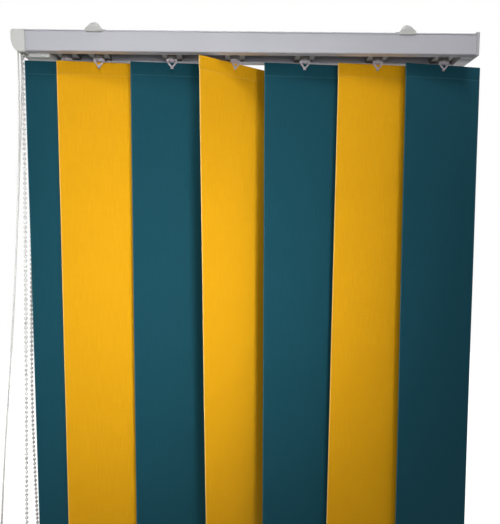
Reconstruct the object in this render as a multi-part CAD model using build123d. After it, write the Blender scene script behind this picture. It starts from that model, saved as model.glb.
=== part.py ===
from build123d import *
import os
from math import cos, pi, radians, sin, sqrt, tan

# Vertical blind with seven fabric vanes on a wall-fixed head rail.
# X runs along the rail, -Y faces the room and +Z is up. The origin is on the wall, in the middle
# of the four screw holes of the two wall brackets. Sizes are in millimetres.

# Wall brackets and the clips that hold the rail under them
bracket_inset = 81.5
screw_row_spacing = 20.0
screw_hole_diameter = 4.5
bracket_width = 24.0
bracket_thickness = 2.0
bracket_leg = 45.0
bracket_nose = 12.0
bracket_rib_height = 1.6
bracket_rib_width = 7.0
bracket_bend_radius = 3.0
bracket_rib_inset = 2.0
wall_distance = 70.0
clip_width = 21.0
clip_plate = 3.0
clip_lip = 1.7
clip_claw = 1.2
clip_play = 0.15
clip_corner = 2.5
clip_screw_diameter = 4.0
clip_nut_width = 7.0
clip_nut_height = 3.2
clip_screw_head = 1.6
clip_screw_head_diameter = 8.4
clip_screw_end = 2.0
clip_well = 10.0
clip_edge_round = 1.2

# Head rail, an extruded channel that is open below
rail_top = 22.0
rail_height = 25.0
rail_depth = 44.0
rail_wall = 1.3
rail_slot_share = 13 / 22
rail_corner = 1.5
rail_length = 533.0
rail_shift = 1.0
groove_drop = 1.7
groove_height = 1.3
groove_depth = 0.7

# End caps
cap_margin = 1.3
cap_width = 16.0
cap_corner = 7.0
cap_shoulder = 2.0
return_flange = 3.5
cap_bevel = 0.6
plug_play = 0.3
control_plug = 24.5
control_tongue = 4.0
return_plug = 13.5
return_plug_height = 14.3
return_saddle = 5.0
return_saddle_over_rod = 5.5
tongue_round = 1.5

# Tilt rod and its chain sprocket
rod_height = 12.2
rod_diameter = 6.0
rod_groove = 1.2
rod_grooves = 3
rod_end_inset = 1.5
rod_end_play = 0.4
shaft_play = 0.08
press_play = 0.02
sprocket_pockets = 10
bead_pitch = 6.0
bead_diameter = 4.2
sprocket_flange = 0.55
sprocket_rim = 10.4
sprocket_share = 11 / 34
chain_inset = 4.3
chain_play = 0.35
flange_play = 0.2
chamber_play = 0.45

# Draw cord and its sheaves
cord_diameter = 1.8
cord_height = 16.5
cord_turn = 4.0
cord_wall_gap = 3.2
sheave_rim = 5.2
sheave_width = 3.6
sheave_play = 0.4
sheave_groove_play = 0.35
sheave_edge = 0.5
sheave_pin_seat = 2.5
sheave_pin_diameter = 3.0
return_sheave_inset = 6.0
return_pin_seat = 8.3
cord_inset = 5.5
cord_play = 0.5

# Carriers that run on the rail's lips
first_vane_inset = 41.0
last_vane_inset = 29.5
stack_pitch = 38.5
vane_pitches = [89.0, 77.0, 86.0, 90.0, 82.0]
carrier_length = 24.0
carrier_side_gap = 0.5
carrier_floor = 3.0
carrier_roof = 21.8
carrier_corner = 2.0
carrier_bevel = 0.8
wheel_diameter = 8.4
wheel_width = 4.0
wheel_gap = 0.9
wheel_base = 14.0
axle_diameter = 2.4
running_gap = 0.3
neck_diameter = 12.0

# Spacer strips that set the widest distance between carriers
spacer_slack = 0.5
spacer_width = 4.0
spacer_thickness = 0.6
spacer_head = 6.0
spacer_head_length = 1.5
spacer_height = 19.2
spacer_lane = 7.0
spacer_play = 0.3
spacer_head_gap = 0.1

# Vanes
vane_angles = [5.0, 6.0, 5.0, 34.0, 5.0, 6.0, 9.0]
vane_width = 100.0
vane_length = 1000.0
vane_gap = 5.0
fabric = 0.45
top_pocket = 15.0
bottom_pocket = 38.0
pocket_taper = 2.0
weld = 1.5
hanger_thickness = 0.8
hanger_width = 92.0
hanger_height = 11.5
weight_thickness = 1.6
weight_width = 94.0
weight_height = 32.0
sheet_corner = 2.0
punch_width = 6.0
punch_height = 4.5
punch_drop = 6.5

# Clear hooks
hook_width = 16.8
hook_drop = 13.0
hook_rise = 4.0
hook_bar = 1.9
hook_finger = 1.2
hook_rear_finger = 1.0
hook_finger_gap = 0.15
hook_head = 2.9
hook_head_width = 11.2
hook_round = 2.0
hook_dip = 1.0
hook_dip_radius = 2.2
hook_bevel = 0.3
rear_finger_width = 8.0
nib_width = 5.0
nib_height = 3.0
stem_diameter = 6.0
stem_top = 8.8
stem_wheel_diameter = 7.8
stem_wheel_height = 2.9
stem_play = 0.2

# Cord weight
weight_diameter = 14.0
weight_body = 46.0
weight_shoulder = 4.0
weight_play = 0.4
weight_bevel = 3.0

# How far a cut or a join reaches past the face it starts from
beyond = 1.0

rail_bottom = rail_top - rail_height
rail_left = rail_shift - rail_length / 2
rail_right = rail_left + rail_length
bracket_spacing = rail_length - 2 * bracket_inset
rail_slot = rail_depth * rail_slot_share
carrier_depth = rail_slot - 2 * carrier_side_gap
rail_y = -wall_distance
vane_top = rail_bottom - vane_gap
cap_left = rail_left - cap_width
chain_x = cap_left + chain_inset
cord_x = cap_left + cord_inset
sprocket_radius = sprocket_pockets * bead_pitch / (2 * pi)
cord_front = cord_wall_gap + rail_wall - rail_depth / 2
cord_rear = cord_front + 2 * cord_turn
sprocket_front = cord_rear + sheave_width / 2
sprocket_room = rail_depth / 2 + cap_margin - sprocket_front - 2 * sprocket_rim
rod_offset = sprocket_front + sprocket_room * sprocket_share + sprocket_rim
cord_middle = (cord_rear + cord_front) / 2
guide_x = cord_x + cord_turn
return_x = rail_right - return_sheave_inset
rod_end = rail_right - rod_end_inset
rod_z = rail_bottom + rod_height
cord_z = rail_bottom + cord_height
arm_bottom = rail_top + clip_plate
arm_top = arm_bottom + bracket_thickness

# Where each vane hangs: the first and the last keep their distance from the rail's ends, the
# second is stacked beside the first, and the others share what is left of the rail
first_vane = rail_left + first_vane_inset
pitch_share = (rail_right - last_vane_inset - first_vane - stack_pitch) / sum(vane_pitches)
vane_places = [first_vane, first_vane + stack_pitch]
for pitch in vane_pitches:
    vane_places.append(vane_places[-1] + pitch * pitch_share)
spacer_reach = max(vane_pitches) * pitch_share + spacer_slack


def block(x, y, z):
    """A box between two values along each axis."""
    middle = [(low + high) / 2 for low, high in (x, y, z)]
    return Pos(*middle) * Box(x[1] - x[0], y[1] - y[0], z[1] - z[0])


def along_x(radius, x, y, z):
    return Pos((x[0] + x[1]) / 2, y, z) * Rot(0, 90, 0) * Cylinder(radius, x[1] - x[0])


def along_y(radius, x, y, z):
    return Pos(x, (y[0] + y[1]) / 2, z) * Rot(90, 0, 0) * Cylinder(radius, y[1] - y[0])


def along_z(radius, x, y, z):
    return Pos(x, y, (z[0] + z[1]) / 2) * Cylinder(radius, z[1] - z[0])


def rail_plane(x):
    """The rail's cross-section plane: its first axis is Y, its second is Z."""
    return Plane(origin=(x, rail_y, rail_top - rail_height / 2), x_dir=(0, 1, 0), z_dir=(1, 0, 0))


def save(shape, name):
    shape.label = name
    export_step(shape, f"parts/{name}.step")


def rail_section():
    """The outside of the rail, with the two clip grooves."""
    outside = RectangleRounded(rail_depth, rail_height, rail_corner)
    groove_z = rail_height / 2 - groove_drop - groove_height / 2
    for side in (-1, 1):
        outside -= Pos(side * rail_depth / 2, groove_z) * Rectangle(2 * groove_depth, groove_height)
    return outside


def head_rail():
    inside = Rectangle(rail_depth - 2 * rail_wall, rail_height - 2 * rail_wall)
    slot = Pos(0, -rail_height / 2) * Rectangle(rail_slot, 4 * rail_wall)
    section = rail_section() - inside - slot
    return extrude(rail_plane(rail_left) * section, rail_length)


def wall_bracket(x):
    """A pressed angle: its leg is screwed to the wall behind the rail, its arm holds the clip."""
    half = bracket_width / 2
    leg = block((-half, half), (-bracket_thickness, 0), (arm_top - bracket_leg, arm_top))
    arm = block((-half, half), (rail_y - bracket_nose, 0), (arm_bottom, arm_top))
    bracket = leg + arm
    inner = bracket.edges().filter_by(Axis.X).sort_by_distance((0, -bracket_thickness, arm_bottom))[0]
    bracket = fillet(inner, bracket_bend_radius)
    outer = bracket.edges().filter_by(Axis.X).sort_by_distance((0, 0, arm_top))[0]
    bracket = fillet(outer, bracket_bend_radius + bracket_thickness / 2)
    nose = bracket.edges().filter_by(Axis.Z).group_by(Axis.Y)[0]
    bracket = fillet(nose, half * 0.6)
    rib_end = -bracket_thickness - bracket_bend_radius - bracket_rib_inset
    rib_start = rail_y + 1.5 * bracket_nose
    rib = block(
        (-bracket_rib_width / 2, bracket_rib_width / 2),
        (rib_start, rib_end),
        (arm_top - bracket_thickness / 2, arm_top + bracket_rib_height),
    )
    bracket += fillet(rib.edges().group_by(Axis.Z)[-1], bracket_rib_height * 0.6)
    clip_hole = (arm_bottom - beyond, arm_top + beyond)
    bracket -= along_z(clip_screw_diameter / 2 + shaft_play, 0, rail_y, clip_hole)
    for z in (-screw_row_spacing / 2, screw_row_spacing / 2):
        bracket -= along_y(screw_hole_diameter / 2, 0, (-2 * bracket_thickness, bracket_thickness), z)
    return Pos(x, 0, 0) * bracket


def rail_clip(x):
    """A clear moulding on the rail's top, whose claws snap into the two grooves."""
    half_width = rail_depth / 2 + clip_play + clip_lip
    lip_drop = groove_drop + groove_height - clip_play
    outside = Pos(0, (clip_plate - lip_drop) / 2) * RectangleRounded(
        2 * half_width, clip_plate + lip_drop, clip_edge_round
    )
    rail_room = Pos(0, -lip_drop) * Rectangle(rail_depth + 2 * clip_play, 2 * lip_drop)
    section = outside - rail_room
    for side in (-1, 1):
        claw_depth = (clip_claw - clip_play) / 2 + clip_play
        claw_middle = rail_depth / 2 + 2 * clip_play - claw_depth / 2
        height = groove_height - 2 * clip_play
        section += Pos(side * claw_middle, height / 2 - lip_drop) * Rectangle(claw_depth, height)
    plane = Plane(origin=(x - clip_width / 2, rail_y, rail_top), x_dir=(0, 1, 0), z_dir=(1, 0, 0))
    clip = extrude(plane * section, clip_width)
    plan = Pos(x, rail_y, rail_top) * RectangleRounded(clip_width, 2 * half_width, clip_corner)
    clip &= extrude(plan, rail_height, both=True)
    half = clip_well / 2
    low = rail_top - beyond
    well = block((x - half, x + half), (rail_y - half, rail_y + half), (low, rail_top + clip_screw_head))
    bore = along_z(clip_screw_diameter / 2 + shaft_play, x, rail_y, (low, arm_bottom + beyond))
    return clip - well - bore


def clip_screws():
    """A screw up through each clip and arm, with its nut on the arm."""
    solids = []
    head_top = rail_top + clip_screw_head
    nut_top = arm_top + clip_nut_height
    for x in (-bracket_spacing / 2, bracket_spacing / 2):
        head = along_z(clip_screw_head_diameter / 2, x, rail_y, (rail_top + shaft_play, head_top))
        shank_z = (head_top - clip_screw_head / 2, nut_top + clip_screw_end)
        shank = along_z(clip_screw_diameter / 2, x, rail_y, shank_z)
        hexagon = RegularPolygon(clip_nut_width / 2, 6, major_radius=False)
        nut = extrude(Pos(x, rail_y, arm_top) * hexagon, clip_nut_height)
        nut -= along_z(clip_screw_diameter / 2 + press_play, x, rail_y, (arm_top - beyond, nut_top + beyond))
        solids += [head + shank, nut]
    return Compound(children=solids)


def guide_chamber():
    """How far the two guide sheaves' chamber reaches along Y."""
    room = sheave_width / 2 + sheave_play
    return rail_y + cord_front - room, rail_y + cord_rear + room


def cap_blank(x, width):
    section = RectangleRounded(rail_depth + 2 * cap_margin, rail_height + 2 * cap_margin, rail_corner)
    return extrude(rail_plane(x) * section, width)


def cord_holes(x):
    radius = cord_diameter / 2 + cord_play
    front = along_x(radius, x, rail_y + cord_front, cord_z)
    return front + along_x(radius, x, rail_y + cord_rear, cord_z)


def control_end_cap():
    """The control end: chambers for the sprocket and the guide sheaves, and a plug in the rail."""
    cap = cap_blank(cap_left, cap_width)
    middle = (cap_left, rail_y, rail_top - rail_height / 2)
    side_view = Plane(origin=middle, x_dir=(1, 0, 0), z_dir=(0, -1, 0))
    outline = Pos(cap_width, 0) * Rectangle(2 * cap_width, rail_height + 2 * cap_margin)
    left = outline.vertices().group_by(Axis.X)[0].sort_by(Axis.Y)
    outline = fillet(left[0], cap_corner)
    outline = fillet(outline.vertices().group_by(Axis.X)[0].sort_by(Axis.Y)[-1], cap_shoulder)
    cap &= extrude(side_view * outline, rail_depth, both=True)
    half = rail_depth / 2 - rail_wall - plug_play
    plug_bottom = rail_bottom + rail_wall + plug_play
    plug_top = rail_top - rail_wall - plug_play
    plug_x = (rail_left - beyond, rail_left + control_plug)
    cap += block(plug_x, (rail_y - half, rail_y + half), (plug_bottom, plug_top))
    tongue = rail_slot / 2 - plug_play
    foot = block(
        (rail_left, plug_x[1]),
        (rail_y - tongue, rail_y + tongue),
        (rail_bottom - control_tongue, plug_bottom + beyond),
    )
    cap += fillet(foot.edges().group_by(Axis.Z)[0], tongue_round)
    room = sprocket_rim + chain_play
    reach = sprocket_radius + bead_diameter / 2 + chain_play
    side = bead_diameter / 2 + sprocket_flange + chamber_play
    chamber_x = (chain_x - side, chain_x + side)
    below = rail_bottom - 2 * cap_margin - beyond
    chamber_y = (rail_y + rod_offset - reach, rail_y + rod_offset + reach)
    cap -= along_x(max(room, reach), chamber_x, rail_y + rod_offset, rod_z)
    cap -= block(chamber_x, chamber_y, (below, rod_z))
    sheave_room = sheave_rim + cord_play
    cap -= block(
        (guide_x - sheave_room, guide_x + sheave_room),
        guide_chamber(),
        (below, cord_z + cord_diameter / 2 + cord_play),
    )
    cap -= guide_sheave_pin()
    inside = plug_x[1] + beyond
    cap -= cord_holes((guide_x, inside))
    cap -= along_x(rod_diameter / 2 + shaft_play, (chain_x, inside), rail_y + rod_offset, rod_z)
    return cap


def return_end_cap():
    """The far end: a flange on the rail's end and a shelf that carries the rod and the return sheave."""
    cap = cap_blank(rail_right, return_flange)
    cap = chamfer(cap.faces().sort_by(Axis.X)[-1].edges(), cap_bevel)
    half = rail_depth / 2 - rail_wall - plug_play
    inner, outer = rail_right - return_plug, rail_right + beyond
    shelf_bottom = rail_bottom + rail_wall + plug_play
    shelf_top = rail_bottom + return_plug_height
    tongue = rail_slot / 2 - plug_play
    cap += block((inner, outer), (rail_y - half, rail_y + half), (shelf_bottom, shelf_top))
    cap += block(
        (inner, outer), (rail_y - tongue, rail_y + tongue), (rail_bottom - cap_margin, shelf_bottom + beyond)
    )
    rod_y = rail_y + rod_offset
    cap += block(
        (rail_right - return_saddle, outer),
        (rod_y - return_saddle, rod_y + return_saddle),
        (shelf_top - beyond, rod_z + return_saddle_over_rod),
    )
    bore = rod_diameter / 2 + shaft_play
    cap -= along_x(bore, (inner - beyond, rod_end + rod_end_play), rod_y, rod_z)
    cap -= block((inner - beyond, rail_right - return_saddle), (rod_y - bore, rod_y + bore), (rod_z, cord_z))
    return cap - return_sheave_pin()


def tilt_rod():
    """A drawn rod with three grooves that drive the carriers' worms."""
    section = Circle(rod_diameter / 2)
    for i in range(rod_grooves):
        turn = Rot(0, 0, 90 + i * 360 / rod_grooves)
        section -= turn * Pos(rod_diameter / 2, 0) * Rectangle(rod_groove, rod_groove)
    start = chain_x - bead_diameter / 2 - sprocket_flange
    plane = Plane(origin=(start, rail_y + rod_offset, rod_z), x_dir=(0, 1, 0), z_dir=(1, 0, 0))
    return extrude(plane * section, rod_end - start)


def chain_sprocket():
    """A drum between two flanges whose rims are scalloped at the beads' pitch."""
    y, z = rail_y + rod_offset, rod_z
    inner = bead_diameter / 2
    drum = sprocket_radius - bead_diameter / 2 - chain_play
    near = inner + flange_play
    wheel = along_x(drum, (chain_x - near, chain_x + near), y, z)
    for side in (-1, 1):
        low, high = sorted((chain_x + side * near, chain_x + side * (near + sprocket_flange)))
        flange = along_x(sprocket_rim, (low, high), y, z)
        for i in range(sprocket_pockets):
            angle = radians(i * 360 / sprocket_pockets)
            at = (y + sprocket_rim * cos(angle), z + sprocket_rim * sin(angle))
            flange -= along_x(bead_diameter * 0.45, (low - beyond, high + beyond), *at)
        wheel += flange
    half = near + sprocket_flange + beyond
    return wheel - along_x(rod_diameter / 2 + press_play, (chain_x - half, chain_x + half), y, z)


def sheave():
    """A grooved wheel about local Z, centred on the origin."""
    groove = cord_turn - cord_diameter / 2 - sheave_groove_play
    bore = sheave_pin_diameter / 2 + shaft_play
    half = sheave_width / 2
    floor = cord_diameter * 0.35
    outline = Polyline(
        (bore, -half),
        (sheave_rim, -half),
        (sheave_rim, sheave_edge - half),
        (groove, -floor),
        (groove, floor),
        (sheave_rim, half - sheave_edge),
        (sheave_rim, half),
        (bore, half),
        close=True,
    )
    return revolve(Plane.XZ * make_face(outline), Axis.Z)


def guide_sheave(y):
    return Pos(guide_x, rail_y + y, cord_z - cord_turn) * Rot(90, 0, 0) * sheave()


def guide_sheave_pin():
    front, rear = guide_chamber()
    return along_y(sheave_pin_diameter / 2, guide_x, (front - sheave_pin_seat, rear), cord_z - cord_turn)


def return_sheave():
    return Pos(return_x, rail_y + cord_middle, cord_z) * sheave()


def return_sheave_pin():
    top = cord_z + sheave_width / 2 + sheave_play
    low = rail_bottom + return_plug_height - return_pin_seat
    return along_z(sheave_pin_diameter / 2, return_x, rail_y + cord_middle, (low, top))


def carrier(number):
    """A moulded truck on four wheels, with a neck for the hook and slots for the spacer strips."""
    half_x, half_y = carrier_length / 2, carrier_depth / 2
    body_z = (rail_bottom + carrier_floor, rail_bottom + carrier_roof)
    body = block((-half_x, half_x), (rail_y - half_y, rail_y + half_y), body_z)
    body = fillet(body.edges().filter_by(Axis.Z), carrier_corner)
    body = chamfer(body.edges().group_by(Axis.Z)[-1], carrier_bevel)
    neck_bottom = vane_top + hook_rise + running_gap
    body += along_z(neck_diameter / 2, 0, rail_y, (neck_bottom, body_z[0] + beyond))
    axle_z = rail_bottom + rail_wall + running_gap + wheel_diameter / 2
    outer = half_y + wheel_gap + wheel_width
    for x in (-wheel_base / 2, wheel_base / 2):
        body += along_y(axle_diameter / 2, x, (rail_y - outer, rail_y + outer), axle_z)
        for side in (-1, 1):
            edges = sorted((rail_y + side * (half_y + wheel_gap), rail_y + side * outer))
            body += along_y(wheel_diameter / 2, x, edges, axle_z)
    ends = (-half_x - beyond, half_x + beyond)
    body -= along_x(rod_diameter / 2 + shaft_play, ends, rail_y + rod_offset, rod_z)
    body -= along_x(cord_diameter / 2 + cord_play, ends, rail_y + cord_rear, cord_z)
    stem_end = rail_bottom + stem_top
    body -= along_z(stem_diameter / 2 + shaft_play, 0, rail_y, (neck_bottom - beyond, stem_end))
    pocket = (stem_end - stem_wheel_height - stem_play, stem_end + stem_play)
    body -= along_z(stem_wheel_diameter / 2 + running_gap, 0, rail_y, pocket)
    for lane in range(3):
        wide = (number - lane) % 3 == 2
        slot = (spacer_head if wide else spacer_width) / 2 + spacer_play
        y = rail_y + (lane - 1) * spacer_lane
        low = rail_bottom + spacer_height - spacer_play
        body -= block(ends, (y - slot, y + slot), (low, low + spacer_thickness + 2 * spacer_play))
    return Pos(vane_places[number - 1], 0, 0) * body


def spacer(number):
    """A strip fixed in its own carrier that runs through the next one, with a head at each end."""
    y = rail_y + (number % 3 - 1) * spacer_lane
    z = (rail_bottom + spacer_height, rail_bottom + spacer_height + spacer_thickness)
    start = -carrier_length / 2 - spacer_head_gap
    stop = spacer_reach + carrier_length / 2 + spacer_play
    half, head = spacer_width / 2, spacer_head / 2
    strip = block((start, stop), (y - half, y + half), z)
    strip += block((start - spacer_head_length, start), (y - head, y + head), z)
    strip += block((stop, stop + spacer_head_length), (y - head, y + head), z)
    return Pos(vane_places[number - 1], 0, 0) * strip


def on_vane(shape, number):
    """Places a piece drawn square to the rail on its vane's axis, at the vane's angle."""
    return Pos(vane_places[number - 1], rail_y, 0) * Rot(0, 0, vane_angles[number - 1]) * shape


package = hanger_thickness + 2 * fabric
front_face = -package / 2
cavity_front = front_face + fabric


def hook():
    """A clear hook: a stem with a wheel for the worm, a looped front finger and a nibbed rear one."""
    top = vane_top + hook_rise
    front = (front_face - hook_finger_gap - hook_finger, front_face - hook_finger_gap)
    rear = (-front[1], hook_rear_finger - front[1])
    half = hook_width / 2
    slant = sqrt(half**2 + hook_drop**2)
    outline = make_face(Polyline((-half, top), (half, top), (0, top - hook_drop), close=True))
    corners = outline.vertices().group_by(Axis.Y)
    outline = fillet(corners[-1], hook_round)
    outline = fillet(outline.vertices().group_by(Axis.Y)[0], hook_round * 0.6)
    inner_half = half * (1 - hook_head / hook_drop) - hook_bar * slant / hook_drop
    inner_tip = top - hook_drop + hook_bar * slant / half
    inner = make_face(
        Polyline((-inner_half, top - hook_head), (inner_half, top - hook_head), (0, inner_tip), close=True)
    )
    inner = fillet(inner.vertices(), hook_round * 0.4)
    inner -= Pos(0, top - hook_head + hook_dip_radius - hook_dip) * Circle(hook_dip_radius)
    plane = Plane(origin=(0, front[1], 0), x_dir=(1, 0, 0), z_dir=(0, -1, 0))
    finger = extrude(plane * (outline - inner), hook_finger)
    finger = chamfer(finger.edges().group_by(Axis.Y)[0], hook_bevel)
    head_half = hook_head_width / 2
    head = block((-head_half, head_half), (front[0] + hook_bevel, rear[1]), (top - hook_head, top))
    head = fillet(head.edges().filter_by(Axis.Z), hook_round * 0.35)
    rear_half = rear_finger_width / 2
    back = block((-rear_half, rear_half), rear, (top - hook_drop, top - hook_head / 2))
    back = fillet(back.edges().filter_by(Axis.Y).group_by(Axis.Z)[0], hook_round)
    punch_top = vane_top - punch_drop + punch_height / 2
    nib_z = (punch_top - nib_height, punch_top)
    nib = block((-nib_width / 2, nib_width / 2), (front_face, rear[0] + hook_bevel), nib_z)
    stem_end = rail_bottom + stem_top
    stem = along_z(stem_diameter / 2, 0, 0, (top - hook_head / 2, stem_end - stem_play))
    wheel_z = (stem_end - stem_wheel_height, stem_end)
    wheel = along_z(stem_wheel_diameter / 2, 0, 0, wheel_z)
    return finger + head + back + nib + stem + wheel


def punch():
    """The rectangular hole through the top pocket and its hanger, drawn square."""
    middle = vane_top - punch_drop
    z = (middle - punch_height / 2, middle + punch_height / 2)
    return block((-punch_width / 2, punch_width / 2), (-3 * package, 3 * package), z)


def slat():
    """One strip of fabric, folded back and welded into a pocket at its top and its bottom."""
    bottom = vane_top - vane_length
    back_top = cavity_front + hanger_thickness
    back_bottom = cavity_front + weight_thickness
    top_end = vane_top - top_pocket
    bottom_end = bottom + bottom_pocket
    outline = Polyline(
        (front_face, vane_top),
        (back_top + fabric, vane_top),
        (back_top + fabric, top_end + pocket_taper),
        (cavity_front + fabric, top_end),
        (cavity_front + fabric, top_end - weld),
        (cavity_front, top_end - weld),
        (cavity_front, bottom_end + weld),
        (cavity_front + fabric, bottom_end + weld),
        (cavity_front + fabric, bottom_end),
        (back_bottom + fabric, bottom_end - pocket_taper),
        (back_bottom + fabric, bottom),
        (front_face, bottom),
        close=True,
    )
    upper = Polyline(
        (cavity_front, vane_top - fabric),
        (back_top, vane_top - fabric),
        (back_top, top_end + pocket_taper),
        (cavity_front, top_end),
        close=True,
    )
    lower = Polyline(
        (cavity_front, bottom + fabric),
        (back_bottom, bottom + fabric),
        (back_bottom, bottom_end - pocket_taper),
        (cavity_front, bottom_end),
        close=True,
    )
    section = make_face(outline) - make_face(upper) - make_face(lower)
    plane = Plane(origin=(-vane_width / 2, 0, 0), x_dir=(0, 1, 0), z_dir=(1, 0, 0))
    return extrude(plane * section, vane_width) - punch()


def plate(width, height, thickness, top):
    """A flat plate with rounded corners in a pocket, against its front ply."""
    plane = Plane(origin=(0, cavity_front, top - height / 2), x_dir=(1, 0, 0), z_dir=(0, 1, 0))
    return extrude(plane * RectangleRounded(width, height, sheet_corner), thickness)


def hanger():
    return plate(hanger_width, hanger_height, hanger_thickness, vane_top - fabric) - punch()


def bottom_weight():
    bottom = vane_top - vane_length + fabric
    return plate(weight_width, weight_height, weight_thickness, bottom + weight_height)


def tube(points, diameter, name):
    """A round tube on straight runs joined by tangent arcs, as large as the runs allow."""
    vectors = [Vector(*p) for p in points]
    radii = []
    for before, at, after in zip(vectors, vectors[1:], vectors[2:]):
        first, second = at - before, after - at
        turn = radians(first.get_angle(second))
        radii.append(0.45 * min(first.length, second.length) / tan(turn / 2))
    path = FilletPolyline(*vectors, radius=radii)
    print(name, "length", round(path.length, 1), "tightest arc", round(min(radii), 1))
    section = Plane(origin=path @ 0, z_dir=path % 0) * Circle(diameter / 2)
    solid = sweep(section, path=path)
    print(name, "volume share", round(solid.volume / (section.area * path.length), 4))
    return solid


# Routes of the hanging chain and cord, as x, y and z from the place where each leaves the cap
chain_front_y = rail_y + rod_offset - sprocket_radius
chain_rear_y = rail_y + rod_offset + sprocket_radius
chain_exit_z = rod_z
chain_route = [
    (0.0, 0.0, 0.0),
    (-0.1, -0.1, -42.0),
    (-0.8, -0.3, -98.0),
    (-1.4, -1.0, -158.0),
    (-2.4, -1.7, -219.0),
    (-3.5, -2.6, -281.0),
    (-4.4, -3.9, -343.0),
    (-5.7, -4.8, -405.0),
    (-6.6, -6.2, -467.0),
    (-8.0, -7.2, -529.0),
    (-9.0, -8.7, -590.0),
    (-10.1, -9.9, -650.0),
    (-10.8, -10.6, -709.0),
    (-11.2, -10.8, -766.0),
    (-11.0, -9.8, -820.1),
    (-10.4, 1.6, -831.5),
    (-9.6, 17.8, -831.5),
    (-8.8, 29.2, -820.1),
    (-7.6, 29.9, -764.0),
    (-6.8, 29.4, -706.0),
    (-6.3, 28.2, -647.0),
    (-5.6, 26.7, -587.0),
    (-5.1, 25.7, -526.0),
    (-4.5, 24.2, -465.0),
    (-3.9, 23.5, -403.0),
    (-3.1, 22.2, -341.0),
    (-2.5, 21.6, -279.0),
    (-1.7, 20.6, -218.0),
    (-1.2, 20.1, -157.0),
    (-0.4, 19.5, -98.0),
    (-0.1, 19.2, -42.0),
    (0.0, chain_rear_y - chain_front_y, 0.0),
]
cord_route = [
    (0.0, 0.0, 0.0),
    (-0.1, 0.1, -26.0),
    (-1.2, 0.6, -62.0),
    (-2.6, 0.9, -108.0),
    (-5.4, 0.4, -162.0),
    (-8.6, -0.6, -222.0),
    (-12.6, -1.4, -284.0),
    (-17.4, -2.8, -346.0),
    (-22.6, -4.0, -408.0),
    (-28.0, -5.6, -470.0),
    (-33.0, -6.8, -532.0),
    (-37.0, -8.2, -592.0),
    (-40.0, -9.0, -650.0),
    (-41.6, -9.6, -704.0),
    (-42.2, -9.1, -742.0),
    (-42.3, -9.2, -760.0),
    (-42.3, -1.2, -760.0),
    (-42.5, -1.1, -742.0),
    (-42.3, -1.7, -704.0),
    (-41.0, -2.6, -650.0),
    (-38.3, -3.2, -592.0),
    (-34.5, -2.9, -532.0),
    (-29.8, -2.3, -470.0),
    (-24.3, -1.0, -408.0),
    (-19.1, 0.2, -346.0),
    (-14.3, 1.6, -284.0),
    (-10.2, 2.8, -222.0),
    (-6.7, 4.6, -162.0),
    (-3.6, 6.2, -108.0),
    (-1.4, 7.2, -62.0),
    (-0.1, 7.9, -26.0),
    (0.0, cord_rear - cord_front, 0.0),
]
cord_exit_z = rail_bottom - cap_margin


def tilt_chain():
    """The bead chain's loop as a plain tube, and the saddle of chain over the sprocket."""
    points = [(chain_x + x, chain_front_y + y, chain_exit_z + z) for x, y, z in chain_route]
    loop = tube(points, bead_diameter, "tilt_chain")
    front = (chain_x, chain_front_y, chain_exit_z)
    rear = (chain_x, chain_rear_y, chain_exit_z)
    top = (chain_x, rail_y + rod_offset, rod_z + sprocket_radius)
    arc = ThreePointArc(front, top, rear)
    saddle = sweep(Plane(origin=arc @ 0, z_dir=arc % 0) * Circle(bead_diameter / 2), path=arc)
    return Compound(children=[loop, saddle])


def draw_cord():
    points = [(cord_x + x, rail_y + cord_front + y, cord_exit_z + z) for x, y, z in cord_route]
    return tube(points, cord_diameter, "draw_cord")


def cord_in_rail():
    """The held cord: up over one guide sheave, round the return sheave and down over the other."""
    lines = []
    top = cord_z
    low = cord_z - cord_turn
    front, rear = rail_y + cord_front, rail_y + cord_rear
    middle = rail_y + cord_middle
    swing = cord_turn * 0.70711
    lines.append(Line((cord_x, front, cord_exit_z), (cord_x, front, low)))
    bend = (guide_x - swing, front, low + swing)
    lines.append(ThreePointArc((cord_x, front, low), bend, (guide_x, front, top)))
    lines.append(Line((guide_x, front, top), (return_x, front, top)))
    far = (return_x + cord_turn, middle, top)
    lines.append(ThreePointArc((return_x, front, top), far, (return_x, rear, top)))
    lines.append(Line((return_x, rear, top), (guide_x, rear, top)))
    bend = (guide_x - swing, rear, low + swing)
    lines.append(ThreePointArc((guide_x, rear, top), bend, (cord_x, rear, low)))
    lines.append(Line((cord_x, rear, low), (cord_x, rear, cord_exit_z)))
    path = Wire(lines)
    print("cord_in_rail length", round(path.length, 1))
    return sweep(Plane(origin=path @ 0, z_dir=path % 0) * Circle(cord_diameter / 2), path=path)


def cord_weight():
    """A turned drop weight that hangs in the cord's bend by the bridge across its slotted top."""
    lowest = min(z for _, _, z in cord_route)
    first, second = [Vector(*place) for place in cord_route if place[2] == lowest]
    middle = Vector(cord_x, rail_y + cord_front, cord_exit_z) + (first + second) / 2
    bend = 0.45 * (second - first).length
    bridge_z = middle.Z + bend
    slot_bottom = middle.Z - cord_diameter / 2 - weight_play
    top = bridge_z + weight_shoulder
    radius = weight_diameter / 2
    outline = Polyline(
        (0, top - weight_body),
        (radius * 0.7, top - weight_body),
        (radius, top - weight_body + weight_bevel),
        (radius, top - weight_body * 0.55),
        (radius * 0.72, top - weight_bevel),
        (radius * 0.6, top),
        (0, top),
        close=True,
    )
    body = Pos(middle.X, middle.Y, 0) * revolve(Plane.XZ * make_face(outline), Axis.Z)
    half = cord_diameter / 2 + weight_play
    slot_y = (middle.Y - radius, middle.Y + radius)
    slot = block((middle.X - half, middle.X + half), slot_y, (slot_bottom, top + beyond))
    bridge_x = (middle.X - half - beyond, middle.X + half + beyond)
    bridge = along_x(bend - cord_diameter / 2 - weight_play, bridge_x, middle.Y, bridge_z)
    return body - slot + bridge


number_of_vanes = len(vane_places)
os.makedirs("parts", exist_ok=True)

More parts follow.
